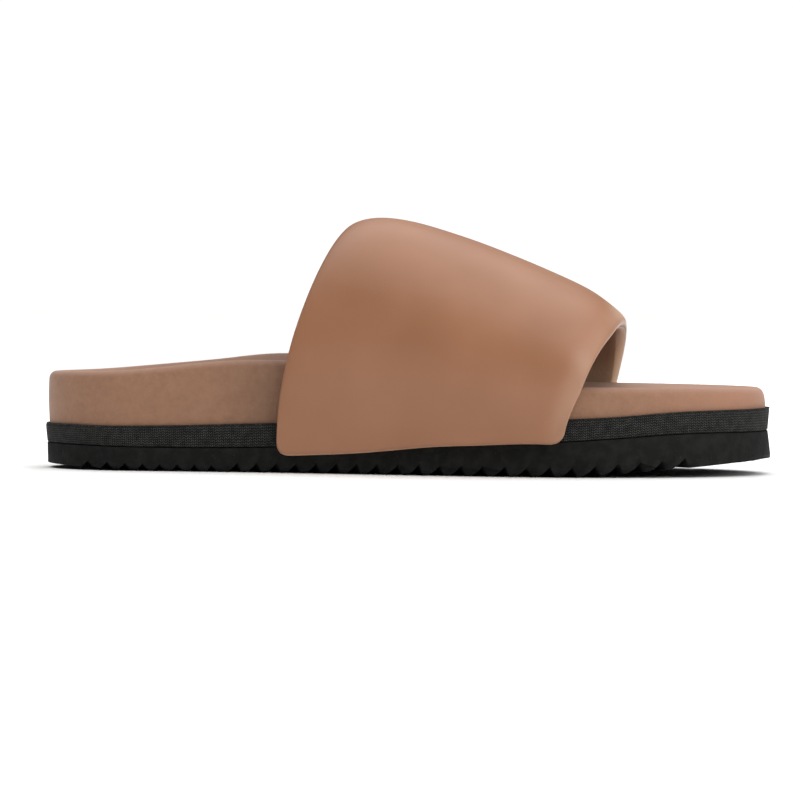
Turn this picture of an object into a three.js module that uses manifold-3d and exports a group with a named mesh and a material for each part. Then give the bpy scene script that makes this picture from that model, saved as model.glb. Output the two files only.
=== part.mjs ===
// Slide sandal with one broad padded strap, for the right foot.
// The shoe points along +X and stands on its sole, and the outer side of the foot is at -Y.
// Lengths are in millimetres. In the tables a place along the sole is a share of LENGTH.
import * as THREE from "three";
import { mergeVertices } from "three/addons/utils/BufferGeometryUtils.js";
import Module from "manifold-3d";

const wasm = await Module();
wasm.setup();

// Plan of the sole
const LENGTH = 261;
const HEEL_WIDTH = 67;
const WAIST_WIDTH = 70;
const BALL_WIDTH = 97;
const HEEL_ROUND = 35;
const TOE_ROUND = 70;
const HEEL_ROUND_POWER = 2;
const TOE_ROUND_POWER = 2.25;

// Heights above the floor
const OUTSOLE_HEIGHT = 8.6;
const RIM_HEIGHT = 33.2;
const HEEL_LIFT = 1.9;
const TOE_SPRING = 5.9;
const HEEL_SPRING_POWER = 1.4;
const TOE_SPRING_POWER = 1.15;
const FLAT_FROM = 0.19;
const FLAT_TO = 0.74;

// Ripple tread
const TREAD_FROM = 0.073;
const TREAD_TURN = 0.265;
const TREAD_TO = 0.906;
const HEEL_TEETH = 8;
const TOE_TEETH = 22;
const TOOTH_GROWTH = 1.2;
const HEEL_TOOTH_DEPTH = 2.5;
const TOE_TOOTH_DEPTH = 3.7;
const TOOTH_FLAT = 1.2;
const STEEP_RUN = 1.9;
const HOLLOW_POWER = 1.4;
const RIB_BOW = 10.5;
const BLOCK_MARGIN = 1.08;
const TREAD_BEVEL = 1.4;
const BEVEL_FADE = 12;
const HEEL_FLARE = -0.2;
const TOE_FLARE = 1;

// Woven tape round the lower margin of the footbed
const TAPE_HEIGHT = 7.8;
const TAPE_THICKNESS = 1.1;
const TAPE_PROUD = 0.6;
const TAPE_FOOT_PROUD = 0;

// Footbed
const SIDE_BULGE = 0.5;
const RIM_ROUND = 2.9;
const TOE_TUCK = 1.1;
const TUCK_FROM = 0.8;
const DISH_POWER = 2.4;

// Strap
const STRAP_HEIGHT = 82.2;
const STRAP_EDGE = 2.7;
const STRAP_SIDE_PAD = 3.2;
const STRAP_TOP_PAD = 10;
const SWELL_REAR = 29;
const SWELL_FRONT = 20;
const SWELL_POWER = 2.2;
const PAD_FULL_SHARE = 0.42;
const STRAP_NOSE = 2;
const NOSE_DROP = 1.1;
const STRAP_LAP = 3.1;
const STRAP_CORNER = 4;
const STRAP_EASE = 0.2;
const ARCH_POWER = 2.35;
const SIDE_WALL_SHARE = 0.4;
const SPRING_BELOW_RIM = 2;

// Gap between two pieces that touch
const GAP = 0.3;

// Counts of facets
const PLAN_STEPS = 52;
const HOLLOW_STEPS = 3;
const RIB_STEPS = 3;
const RIM_STEPS = 4;
const DISH_STEPS = 7;
const STRAP_STEPS_ALONG = 24;
const STRAP_STEPS_ROUND = 44;
const STRAP_STEPS_SIDE = 7;

// Plan: the centre line as a share of BALL_WIDTH, and how much each named width counts there
const PLAN = [
  { at: 0.0, centre: 0.0, heel: 1.0, waist: 0.0, ball: 0.0 },
  { at: 0.14, centre: 0.0, heel: 1.0, waist: 0.0, ball: 0.0 },
  { at: 0.28, centre: -0.01, heel: 0.7, waist: 0.3, ball: 0.0 },
  { at: 0.4, centre: -0.025, heel: 0.0, waist: 1.0, ball: 0.0 },
  { at: 0.54, centre: -0.02, heel: 0.0, waist: 0.5, ball: 0.5 },
  { at: 0.66, centre: -0.007, heel: 0.0, waist: 0.0, ball: 0.965 },
  { at: 0.74, centre: 0.01, heel: 0.0, waist: 0.0, ball: 1.0 },
  { at: 0.84, centre: 0.033, heel: 0.0, waist: 0.0, ball: 0.985 },
  { at: 1.0, centre: 0.06, heel: 0.0, waist: 0.0, ball: 0.94 },
];

// Heights: the outsole's top as a share of OUTSOLE_HEIGHT, the tape as a share of TAPE_HEIGHT,
// and the footbed's rim on each side and its middle as shares of RIM_HEIGHT
const LAYERS = [
  { at: 0.0, outsole: 1.04, tape: 0.86, lateral: 1.05, medial: 1.05, middle: 0.78 },
  { at: 0.06, outsole: 1.015, tape: 0.9, lateral: 1.06, medial: 1.065, middle: 0.77 },
  { at: 0.14, outsole: 0.965, tape: 0.99, lateral: 1.08, medial: 1.12, middle: 0.77 },
  { at: 0.22, outsole: 0.965, tape: 1.05, lateral: 1.12, medial: 1.18, middle: 0.8 },
  { at: 0.3, outsole: 1.0, tape: 1.11, lateral: 1.15, medial: 1.25, middle: 0.85 },
  { at: 0.38, outsole: 1.075, tape: 1.1, lateral: 1.14, medial: 1.235, middle: 0.9 },
  { at: 0.5, outsole: 1.19, tape: 1.09, lateral: 1.07, medial: 1.12, middle: 0.91 },
  { at: 0.62, outsole: 1.29, tape: 1.07, lateral: 1.0, medial: 1.01, middle: 0.88 },
  { at: 0.72, outsole: 1.395, tape: 1.04, lateral: 0.96, medial: 0.955, middle: 0.87 },
  { at: 0.8, outsole: 1.55, tape: 1.0, lateral: 0.95, medial: 0.945, middle: 0.88 },
  { at: 0.89, outsole: 1.75, tape: 1.02, lateral: 0.945, medial: 0.94, middle: 0.89 },
  { at: 1.0, outsole: 1.79, tape: 1.08, lateral: 0.935, medial: 0.935, middle: 0.9 },
];

// Side of the footbed above the tape: how far up it, and how far out as a share of SIDE_BULGE
const FOOTBED_SIDE = [
  { up: 0.0, out: 0.0 },
  { up: 0.35, out: 0.8 },
  { up: 0.7, out: 1.0 },
  { up: 1.0, out: 0.7 },
];

// Inside of the strap over the instep, as a share of STRAP_HEIGHT
const INSTEP = [
  { at: 0.38, height: 1.003 },
  { at: 0.42, height: 1.007 },
  { at: 0.47, height: 0.999 },
  { at: 0.57, height: 0.908 },
  { at: 0.64, height: 0.824 },
  { at: 0.7, height: 0.744 },
  { at: 0.763, height: 0.659 },
  { at: 0.795, height: 0.6185 },
  { at: 0.84, height: 0.57 },
];

// How far the strap's lower edge laps over the outsole, from its rear edge to its front one, as
// a share of STRAP_LAP
const LOWER_EDGE = [
  { at: 0.0, lap: 1.0 },
  { at: 0.25, lap: 0.87 },
  { at: 0.4, lap: 0.58 },
  { at: 0.55, lap: 0.2 },
  { at: 0.71, lap: 0.1 },
  { at: 0.87, lap: 0.02 },
  { at: 1.0, lap: 0.26 },
];

// The strap's two edges: their place at each side of the sole and over the top, and how late
// they bend towards the top on each side
const STRAP_EDGES = {
  rear: { lateral: 0.3415, top: 0.42, medial: 0.328, lateralBow: 2.2, medialBow: 2.2 },
  front: { lateral: 0.733, top: 0.787, medial: 0.757, lateralBow: 1.32, medialBow: 0.6 },
};

const mix = (a, b, t) => a + (b - a) * t;
const clamp = (t) => Math.min(Math.max(t, 0), 1);
const smooth = (t) => clamp(t) ** 2 * (3 - 2 * clamp(t));

// Value read from a table's rows at a place, on a smooth curve through the rows
function along(rows, read, at) {
  const last = rows.length - 1;
  if (at <= rows[0].at) return read(rows[0]);
  if (at >= rows[last].at) return read(rows[last]);
  let i = 0;
  while (rows[i + 1].at < at) i += 1;
  const slope = (k) => {
    const a = rows[Math.max(k - 1, 0)];
    const b = rows[Math.min(k + 1, last)];
    return (read(b) - read(a)) / (b.at - a.at);
  };
  const run = rows[i + 1].at - rows[i].at;
  const t = (at - rows[i].at) / run;
  const between = mix(read(rows[i]), read(rows[i + 1]), smooth(t));
  return between + run * t * (1 - t) * (slope(i) * (1 - t) - slope(i + 1) * t);
}

// Share of the full size at a distance from a rounded end
function roundEnd(distance, reach, power) {
  if (distance >= reach) return 1;
  const rest = 1 - Math.max(distance, 0) / reach;
  return (1 - rest ** power) ** (1 / power);
}

const centreAt = (x) => BALL_WIDTH * along(PLAN, (row) => row.centre, x / LENGTH);

// Width of the sole before its ends are rounded
function widthAt(x) {
  const read = (row) => row.heel * HEEL_WIDTH + row.waist * WAIST_WIDTH + row.ball * BALL_WIDTH;
  return along(PLAN, read, x / LENGTH);
}

// Half the width of the sole, grown on all sides
function halfWidthAt(x, grow) {
  const heel = roundEnd(x + grow, HEEL_ROUND + grow, HEEL_ROUND_POWER);
  const toe = roundEnd(LENGTH + grow - x, TOE_ROUND + grow, TOE_ROUND_POWER);
  return (widthAt(x) / 2 + grow) * heel * toe;
}

// Points round the plan: from the heel along the lateral side to the toe, and back
function outline(grow) {
  const points = [];
  for (let i = 0; i < 2 * PLAN_STEPS; i += 1) {
    const lateral = i <= PLAN_STEPS;
    const step = lateral ? i : 2 * PLAN_STEPS - i;
    const share = (1 - Math.cos((Math.PI * step) / PLAN_STEPS)) / 2;
    const x = mix(-grow, LENGTH + grow, share);
    const side = lateral ? -1 : 1;
    const half = step === 0 || step === PLAN_STEPS ? 0 : halfWidthAt(x, grow);
    points.push({ x, y: centreAt(x) + side * half, side, share });
  }
  return points;
}

const outsoleTopAt = (x) => OUTSOLE_HEIGHT * along(LAYERS, (row) => row.outsole, x / LENGTH);
const tapeHeightAt = (x) => TAPE_HEIGHT * along(LAYERS, (row) => row.tape, x / LENGTH);
const tapeTopAt = (x) => outsoleTopAt(x) + tapeHeightAt(x);
const middleAt = (x) => RIM_HEIGHT * along(LAYERS, (row) => row.middle, x / LENGTH);

function rimAt(x, side) {
  const read = side < 0 ? (row) => row.lateral : (row) => row.medial;
  return RIM_HEIGHT * along(LAYERS, read, x / LENGTH);
}

// Tips of the tread: flat on the floor in the middle, and raised at the heel end and the toe
function undersideAt(x) {
  const at = x / LENGTH;
  const heel = clamp((FLAT_FROM - at) / FLAT_FROM) ** HEEL_SPRING_POWER;
  const toe = clamp((at - FLAT_TO) / (1 - FLAT_TO)) ** TOE_SPRING_POWER;
  return HEEL_LIFT * heel + TOE_SPRING * toe;
}

function toGeometry(vertices, faces) {
  const geometry = new THREE.BufferGeometry();
  geometry.setAttribute("position", new THREE.Float32BufferAttribute(vertices, 3));
  geometry.setIndex(faces);
  return mergeVertices(geometry, 1e-4);
}

// Faces between rings that hold the same number of points
function ringFaces(rings) {
  const count = rings[0].length;
  const faces = [];
  for (let r = 0; r + 1 < rings.length; r += 1) {
    for (let i = 0; i < count; i += 1) {
      const a = r * count + i;
      const b = r * count + ((i + 1) % count);
      faces.push(a, b, b + count, a, b + count, a + count);
    }
  }
  return faces;
}

// Faces over one ring, in strips from each point to the one opposite, on the side that comes
// before the ring or after it
function lidFaces(start, count, opposite, before) {
  const faces = [];
  for (let i = 0; i < count / 2; i += 1) {
    const a = start + i;
    const b = start + i + 1;
    const c = start + opposite(i);
    const d = start + opposite(i + 1);
    for (const face of [
      [a, b, d],
      [a, d, c],
    ]) {
      if (new Set(face).size === 3) faces.push(...(before ? face.reverse() : face));
    }
  }
  return faces;
}

const flatVertices = (rings) => rings.flat().flatMap((p) => [p.x, p.y, p.z]);

// Solid through rings that follow the plan, from the bottom up
function stack(rings, closeTop) {
  const count = rings[0].length;
  const opposite = (i) => (count - i) % count;
  const faces = ringFaces(rings);
  faces.push(...lidFaces(0, count, opposite, true));
  if (closeTop) faces.push(...lidFaces((rings.length - 1) * count, count, opposite, false));
  return toGeometry(flatVertices(rings), faces);
}

// Solid through rings that run out along one face and back along the other
function closedBand(rings) {
  const count = rings[0].length;
  const opposite = (i) => count - 1 - i;
  const faces = ringFaces(rings);
  faces.push(...lidFaces(0, count - 2, opposite, true));
  faces.push(...lidFaces((rings.length - 1) * count, count - 2, opposite, false));
  return toGeometry(flatVertices(rings), faces);
}

// Saw-tooth line from heel to toe, as places and how far each lies above the line of the tips:
// the heel's teeth lean one way and the others the other way
function treadLine() {
  const line = [];
  const add = (x, up) => line.push({ x, up });
  const plainStep = LENGTH / 40;
  for (let x = -2 * plainStep; x < TREAD_FROM * LENGTH; x += plainStep) add(x, 0);
  const heelPitch = ((TREAD_TURN - TREAD_FROM) * LENGTH) / HEEL_TEETH;
  for (let tooth = 0; tooth < HEEL_TEETH; tooth += 1) {
    const start = TREAD_FROM * LENGTH + tooth * heelPitch;
    const slope = heelPitch - STEEP_RUN - TOOTH_FLAT;
    add(start, 0);
    for (let step = 0; step <= HOLLOW_STEPS; step += 1) {
      const share = step / HOLLOW_STEPS;
      add(start + STEEP_RUN + slope * share, HEEL_TOOTH_DEPTH * (1 - share) ** HOLLOW_POWER);
    }
  }
  const toeRun = (TREAD_TO - TREAD_TURN) * LENGTH;
  const bend = (TOOTH_GROWTH - 1) / (TOOTH_GROWTH + 1);
  const toothAt = (tooth) => {
    const share = tooth / TOE_TEETH;
    return TREAD_TURN * LENGTH + toeRun * mix(share, share * share, bend);
  };
  for (let tooth = 0; tooth < TOE_TEETH; tooth += 1) {
    const start = toothAt(tooth);
    const slope = toothAt(tooth + 1) - start - STEEP_RUN - TOOTH_FLAT;
    add(start, 0);
    for (let step = 0; step <= HOLLOW_STEPS; step += 1) {
      const share = step / HOLLOW_STEPS;
      add(start + TOOTH_FLAT + slope * share, TOE_TOOTH_DEPTH * share ** HOLLOW_POWER);
    }
  }
  for (let x = TREAD_TO * LENGTH; x < LENGTH + RIB_BOW + 2 * plainStep; x += plainStep) add(x, 0);
  return line;
}

// Block over the tread's line, a little wider than the sole. Its ribs bow towards the heel
// under the middle of the foot.
function treadBlock() {
  const line = treadLine();
  const rings = [];
  for (let step = 0; step <= RIB_STEPS; step += 1) {
    const across = BLOCK_MARGIN * (1 - (2 * step) / RIB_STEPS);
    const bow = RIB_BOW * (1 - across ** 2);
    const tips = line.map(({ x, up }) => ({ x: x - bow, z: undersideAt(x - bow) + up }));
    const top = tips.map(({ x }) => ({ x, z: RIM_HEIGHT })).reverse();
    const place = (p) => ({ ...p, y: centreAt(p.x) + (across * widthAt(p.x)) / 2 });
    rings.push([...tips, ...top].map(place));
  }
  return solidFrom(closedBand(rings));
}

function solidFrom(geometry) {
  return new wasm.Manifold(
    new wasm.Mesh({
      numProp: 3,
      vertProperties: geometry.attributes.position.array,
      triVerts: new Uint32Array(geometry.index.array),
    }),
  );
}

// Walls that follow the plan, cut from below to the tread's ribs. Beside the ribs the lower
// edge is bevelled, and at the two ends the walls flare down to a sharp one.
function outsole() {
  const ring = (bevel, heightAt) => {
    const inside = outline(HEEL_FLARE - 2 * bevel);
    const outside = outline(HEEL_FLARE);
    const flared = outline(TOE_FLARE);
    return inside.map((p, i) => {
      const fromEnd = Math.min(p.x - TREAD_FROM * LENGTH, TREAD_TO * LENGTH - p.x);
      const cut = smooth(fromEnd / BEVEL_FADE);
      const flare = smooth(p.x / LENGTH);
      const x = mix(outside[i].x, p.x, cut) + (flared[i].x - outside[i].x) * flare;
      const y = mix(outside[i].y, p.y, cut) + (flared[i].y - outside[i].y) * flare;
      return { x, y, z: heightAt(x) };
    });
  };
  const top = outline(0).map((p) => ({ ...p, z: outsoleTopAt(p.x) }));
  const walls = stack(
    [
      ring(TREAD_BEVEL, (x) => undersideAt(x) - TREAD_BEVEL),
      ring(0, (x) => undersideAt(x) + TREAD_BEVEL),
      top,
    ],
    true,
  );
  const mesh = solidFrom(walls).intersect(treadBlock()).getMesh();
  return toGeometry(mesh.vertProperties, [...mesh.triVerts]);
}

// Ring of woven tape that stands on the outsole
function wovenRand() {
  const ring = (grow, heightAt) => outline(grow).map((p) => ({ ...p, z: heightAt(p.x) }));
  const soften = TAPE_THICKNESS / 3;
  const foot = (x) => outsoleTopAt(x) + GAP;
  const inner = TAPE_PROUD - TAPE_THICKNESS;
  const rings = [
    ring(TAPE_FOOT_PROUD - soften, foot),
    ring(TAPE_FOOT_PROUD, (x) => foot(x) + soften),
    ring(TAPE_PROUD, (x) => tapeTopAt(x) - soften),
    ring(TAPE_PROUD - soften, tapeTopAt),
    ring(inner, tapeTopAt),
    ring(inner, foot),
    ring(TAPE_FOOT_PROUD - soften, foot),
  ];
  return toGeometry(flatVertices(rings), ringFaces(rings));
}

// Footbed: a side that stands inside the tape and swells above it, a round rim and a dished top
function footbed() {
  const inTape = TAPE_PROUD - TAPE_THICKNESS - GAP;
  const shelf = (x) => tapeTopAt(x) + GAP;
  const shoulder = (p) => rimAt(p.x, p.side) - RIM_ROUND;
  const rings = [outline(inTape).map((p) => ({ ...p, z: outsoleTopAt(p.x) + GAP }))];
  for (const row of FOOTBED_SIDE) {
    const ring = outline(inTape + SIDE_BULGE * row.out);
    rings.push(ring.map((p) => ({ ...p, z: mix(shelf(p.x), shoulder(p), row.up) })));
  }
  const widest = inTape + SIDE_BULGE * FOOTBED_SIDE[FOOTBED_SIDE.length - 1].out;
  for (let step = 1; step <= RIM_STEPS; step += 1) {
    const turn = (Math.PI / 2) * (step / RIM_STEPS);
    const ring = outline(widest - RIM_ROUND * (1 - Math.cos(turn)));
    rings.push(ring.map((p) => ({ ...p, z: shoulder(p) + RIM_ROUND * Math.sin(turn) })));
  }
  // Above the tape the toe end leans back a little
  for (const ring of rings.slice(1)) {
    for (const p of ring) {
      const rise = clamp((p.z - shelf(p.x)) / (rimAt(p.x, p.side) - shelf(p.x)));
      const toe = smooth((p.x / LENGTH - TUCK_FROM) / (1 - TUCK_FROM));
      p.x -= TOE_TUCK * toe * Math.sqrt(rise);
    }
  }
  const rim = rings[rings.length - 1];
  for (let step = DISH_STEPS - 1; step >= 0; step -= 1) {
    const share = step / DISH_STEPS;
    rings.push(
      rim.map((p) => {
        const spineX = mix(HEEL_ROUND, LENGTH - TOE_ROUND, p.share);
        const x = mix(spineX, p.x, share);
        const y = mix(centreAt(spineX), p.y, share);
        const z = mix(middleAt(x), p.z, share ** DISH_POWER);
        return { x, y, z };
      }),
    );
  }
  return stack(rings, false);
}

// Rise of the strap's lower edge where it rounds off into the rear and front edges
function cornerLift(forward) {
  const run = LENGTH * (STRAP_EDGES.front.lateral - STRAP_EDGES.rear.lateral);
  const fromCorner = clamp(1 - (Math.min(forward, 1 - forward) * run) / STRAP_CORNER);
  return STRAP_CORNER * (1 - Math.sqrt(1 - fromCorner ** 2));
}

// Place round the strap: how far up its side wall, how far it has turned over the foot, and
// how high that lies on the arch
function archAt(round) {
  const sidePart = STRAP_STEPS_SIDE / STRAP_STEPS_ROUND;
  const up = clamp(Math.min(round, 1 - round) / sidePart);
  const turn = Math.PI * clamp((round - sidePart) / (1 - 2 * sidePart));
  const rise = up < 1 ? 0 : Math.max(Math.sin(turn), 0) ** (2 / ARCH_POWER);
  return { up, turn, rise };
}

// Point inside the strap. forward runs from its rear edge to its front edge, round from the
// lateral lower edge over the instep to the medial one, and lift raises the lower edge.
function strapInside(forward, round, lift) {
  const { up, turn, rise } = archAt(round);
  const height = up < 1 ? SIDE_WALL_SHARE * up : mix(SIDE_WALL_SHARE, 1, rise);
  const medial = smooth((1 - Math.cos(turn)) / 2);
  const edge = (place) => {
    const low = mix(place.lateral, place.medial, medial);
    const bow = mix(place.lateralBow, place.medialBow, medial);
    return LENGTH * mix(low, place.top, height ** bow);
  };
  const x = mix(edge(STRAP_EDGES.rear), edge(STRAP_EDGES.front), forward);
  const half = halfWidthAt(x, TAPE_PROUD + GAP + STRAP_EASE);
  const across = Math.cos(turn);
  const y = centreAt(x) - half * Math.sign(across) * Math.abs(across) ** (2 / ARCH_POWER);
  const spring = mix(rimAt(x, -1), rimAt(x, 1), medial) - SPRING_BELOW_RIM;
  const crown = STRAP_HEIGHT * along(INSTEP, (row) => row.height, x / LENGTH);
  if (up === 1) return new THREE.Vector3(x, y, mix(spring, crown, rise));
  const base = outsoleTopAt(x) - STRAP_LAP * along(LOWER_EDGE, (row) => row.lap, forward);
  return new THREE.Vector3(x, y, mix(base + lift, spring, up));
}

// Foam makes the strap swell between its edges, and more over the foot than beside the sole.
// Over the foot the front edge leans forward like a nose, and its wall is thinner there.
function strapPadding(forward, round) {
  const run = LENGTH * (STRAP_EDGES.front.lateral - STRAP_EDGES.rear.lateral);
  const rear = roundEnd(forward * run, SWELL_REAR, SWELL_POWER);
  const front = roundEnd((1 - forward) * run, SWELL_FRONT, SWELL_POWER);
  const over = smooth(Math.min(round, 1 - round) / PAD_FULL_SHARE);
  const edge = STRAP_EDGE - NOSE_DROP * over * forward;
  const wall = mix(edge, mix(STRAP_SIDE_PAD, STRAP_TOP_PAD, over), rear * front);
  return { wall, nose: STRAP_NOSE * over * (1 - front) };
}

// Point outside the strap, a wall's thickness out from the one inside it
function strapOutside(forward, round) {
  const reach = 0.001;
  const point = strapInside(forward, round, cornerLift(forward));
  const ahead = strapInside(Math.min(forward + reach, 1), round, 0);
  const behind = strapInside(Math.max(forward - reach, 0), round, 0);
  const after = strapInside(forward, Math.min(round + reach, 1), 0);
  const before = strapInside(forward, Math.max(round - reach, 0), 0);
  const ways = ahead.sub(behind);
  const out = ways.clone().cross(after.sub(before)).normalize();
  const { wall, nose } = strapPadding(forward, round);
  return point.addScaledVector(out, wall).addScaledVector(ways.normalize(), nose);
}

// One hollow band: outer face, front edge, inner face and rear edge, closed at both lower edges
function upper() {
  const rings = [];
  for (let step = 0; step <= STRAP_STEPS_ROUND; step += 1) {
    const round = step / STRAP_STEPS_ROUND;
    const outer = [];
    const inner = [];
    for (let i = 0; i <= STRAP_STEPS_ALONG; i += 1) {
      const forward = (1 - Math.cos((Math.PI * i) / STRAP_STEPS_ALONG)) / 2;
      outer.push(strapOutside(forward, round));
      inner.push(strapInside(forward, round, cornerLift(forward)));
    }
    rings.push([...outer, ...inner.reverse()]);
  }
  return closedBand(rings);
}

const finish = (color, roughness) =>
  new THREE.MeshStandardMaterial({ color, roughness, metalness: 0 });

const pieces = [
  { name: "outsole", geometry: outsole(), material: finish(0x232321, 0.9) },
  { name: "woven_rand", geometry: wovenRand(), material: finish(0x3a3b39, 0.95) },
  { name: "footbed", geometry: footbed(), material: finish(0x98704f, 0.8) },
  { name: "upper", geometry: upper(), material: finish(0xa5785a, 0.5) },
];

const sandal = new THREE.Group();
for (const piece of pieces) {
  const mesh = new THREE.Mesh(piece.geometry, piece.material);
  mesh.name = piece.name;
  sandal.add(mesh);
}

// The origin lies on the floor, under the middle of the sandal's own box
const box = new THREE.Box3().setFromObject(sandal);
sandal.position.set(-(box.min.x + box.max.x) / 2, -(box.min.y + box.max.y) / 2, -box.min.z);

export default sandal;
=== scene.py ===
import math

import bmesh
import bpy
from bpy.props import FloatProperty, FloatVectorProperty, IntProperty, PointerProperty
from bpy.types import Operator, Panel, PropertyGroup
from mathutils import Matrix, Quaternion, Vector


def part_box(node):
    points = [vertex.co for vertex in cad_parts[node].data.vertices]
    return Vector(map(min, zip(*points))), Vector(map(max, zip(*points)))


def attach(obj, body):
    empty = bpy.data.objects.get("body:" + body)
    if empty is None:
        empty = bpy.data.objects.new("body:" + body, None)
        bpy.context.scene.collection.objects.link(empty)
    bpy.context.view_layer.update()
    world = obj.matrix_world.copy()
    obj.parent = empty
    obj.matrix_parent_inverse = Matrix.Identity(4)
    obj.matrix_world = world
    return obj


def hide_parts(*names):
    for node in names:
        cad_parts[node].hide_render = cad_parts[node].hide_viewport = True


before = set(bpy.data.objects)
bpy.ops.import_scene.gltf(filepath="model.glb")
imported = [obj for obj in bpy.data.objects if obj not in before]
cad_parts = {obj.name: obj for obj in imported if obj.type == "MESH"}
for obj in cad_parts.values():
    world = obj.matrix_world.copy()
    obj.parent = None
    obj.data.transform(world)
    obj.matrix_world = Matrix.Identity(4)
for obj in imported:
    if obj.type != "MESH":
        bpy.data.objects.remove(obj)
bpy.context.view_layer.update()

bl_info = {
    "name": "Padded slide sandal",
    "version": (1, 0, 0),
    "blender": (4, 5, 0),
    "location": "View3D > Sidebar > Sandal",
    "description": "Dresses the CAD frame of a padded leather slide sandal",
    "category": "Object",
}

MM = 0.001

# Soft creases of the strap. Along is the share from the rear edge to the front
# edge, round the share from the lateral lower edge over the foot to the medial one, and
# each end has its own place. Width and depth are in millimetres, and a ridge is negative.
CREASES = [
    {"along": (0.10, 0.30), "round": (0.18, 0.28), "width": 9.0, "depth": 0.35},
    {"along": (0.45, 0.80), "round": (0.12, 0.20), "width": 11.0, "depth": 0.3},
    {"along": (0.30, 0.62), "round": (0.38, 0.41), "width": 12.0, "depth": -0.3},
    {"along": (0.935, 0.94), "round": (0.07, 0.19), "width": 5.0, "depth": -0.55},
    {"along": (0.15, 0.40), "round": (0.86, 0.74), "width": 10.0, "depth": 0.35},
    {"along": (0.55, 0.85), "round": (0.80, 0.70), "width": 9.0, "depth": 0.3},
    {"along": (0.35, 0.70), "round": (0.60, 0.57), "width": 12.0, "depth": -0.3},
]

# How the padding rolls over the front edge, from the lateral lower edge round to the medial
# one, in millimetres: the outer and the inner ridge forward, the inner ridge down into the
# opening, and the leather behind the outer ridge out.
FRONT_ROLL = [
    {"round": 0.0, "outer": 1.3, "inner": 1.2, "down": 0.0, "out": 0.0},
    {"round": 0.28, "outer": 1.5, "inner": 0.9, "down": 0.0, "out": 0.0},
    {"round": 0.4, "outer": 2.6, "inner": -0.8, "down": 1.2, "out": 0.9},
    {"round": 0.55, "outer": 2.8, "inner": 0.4, "down": 1.3, "out": 1.2},
    {"round": 0.68, "outer": 2.2, "inner": 1.4, "down": 0.3, "out": 0.5},
    {"round": 0.85, "outer": 2.0, "inner": 1.5, "down": 0.0, "out": 0.0},
    {"round": 1.0, "outer": 1.5, "inner": 1.3, "down": 0.0, "out": 0.0},
]

# Places along the shoe, from the middle of its length, where a change starts and ends
LEATHER_PINKER = (70 * MM, 130 * MM)
# Where the strap's painted shade on the footbed begins
STRAP_SHADE_ZONE = (-72 * MM, -43 * MM)
UNDER_STRAP = (45 * MM, 52 * MM)
TAPE_LEANS = (116 * MM, 129 * MM)
TAPE_RISES = (-100 * MM, -122 * MM)
RIM_RISES = (-105 * MM, -55 * MM)
RIM_FALLS = (30 * MM, -20 * MM)

# Where the photograph's camera stood and what it looked at, in metres, its lens in
# millimetres and its roll in degrees
CAMERA_EYE = (0.1565, -1.4918, 0.0652)
CAMERA_AIM = (-0.0021, 0.0, 0.0252)
CAMERA_LENS = 186.8
CAMERA_ROLL = 0.4


def linear(hex_colour):
    """An sRGB hex colour as Blender's linear red, green and blue."""
    parts = [int(hex_colour[i : i + 2], 16) / 255 for i in (1, 3, 5)]
    return tuple(p / 12.92 if p <= 0.04045 else ((p + 0.055) / 1.055) ** 2.4 for p in parts)


def colour(name, description, hex_colour):
    """A colour setting with its default given as an sRGB hex value."""
    return FloatVectorProperty(
        name=name,
        description=description,
        default=linear(hex_colour),
        size=3,
        min=0.0,
        max=1.0,
        subtype="COLOR",
    )


def length(name, description, millimetres):
    """A length setting with its default given in millimetres."""
    return FloatProperty(
        name=name,
        description=description,
        default=millimetres * MM,
        precision=5,
        subtype="DISTANCE",
        unit="LENGTH",
    )


def factor(name, description, value):
    """A setting between nought and one."""
    return FloatProperty(
        name=name, description=description, default=value, min=0.0, max=1.0, subtype="FACTOR"
    )


class StrapSettings(PropertyGroup):
    leather: colour("Leather", "Smooth leather outside the strap", "#A26F4F")
    leather_dark: colour("Leather, darker", "Where the finish lies thicker", "#976646")
    # Paler leather for the painted highlight along the rolled front edge
    edge: colour("Leather, paler", "Where the leather is drawn over the front edge", "#D3B49D")
    lining: colour("Lining", "Brushed leather inside the strap", "#9C7E66")
    lining_dark: colour("Lining, darker", "Brushed leather, against its nap", "#8C6F58")
    # Paler lining for the painted highlight where the lining turns at its seam
    lining_highlight: colour("Lining, paler", "Brushed leather drawn tight along its seam", "#C4A284")
    seam_shade: colour("Seam", "Shade in the seam of the lining", "#4A3024")
    grain: length("Grain", "Size of the leather's fine grain", 0.7)
    pucker: length("Pucker", "Distance between the small puckers at the seam", 1.9)
    seam_at: length("Seam", "Distance of the lining's seam from the inner front edge", 0.9)
    turned: length("Turned edge", "Leather turned inside at the rear edge", 9.0)
    rear_fill: length("Rear edge", "How far the padding fills out the rear edge", 0.3)
    roughness: factor("Roughness", "Roughness of the smooth leather", 0.5)
    subdivisions: IntProperty(
        name="Subdivisions", description="Levels of subdivision", default=2, min=1, max=3
    )


class FootbedSettings(PropertyGroup):
    leather: colour("Leather", "Fine buffed leather over the footbed", "#A57B60")
    leather_dark: colour("Leather, darker", "Mottling of the buffed leather", "#805A40")
    # Paler leather for the painted highlight on the faces that look up
    top_highlight: colour("Leather, paler", "Where the leather is drawn over the rim", "#A07A68")
    leather_pink: colour("Leather, pinker", "Buffed leather round the toe", "#A2735A")
    # Darker leather for the strap's painted shade on the footbed
    strap_shade: colour("Leather, shaded", "Dirt rubbed in behind the strap", "#3F2C21")
    nap: length("Nap", "Size of the buffed leather's nap", 0.5)
    ripple: length("Ripple", "Distance between the fine ripples by the strap", 1.3)
    lift: length("Rim", "How far the padding lifts the outer rim at the waist", 1.8)
    roughness: factor("Roughness", "Roughness of the buffed leather", 0.68)
    subdivisions: IntProperty(
        name="Subdivisions", description="Levels of subdivision", default=2, min=1, max=3
    )


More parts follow.
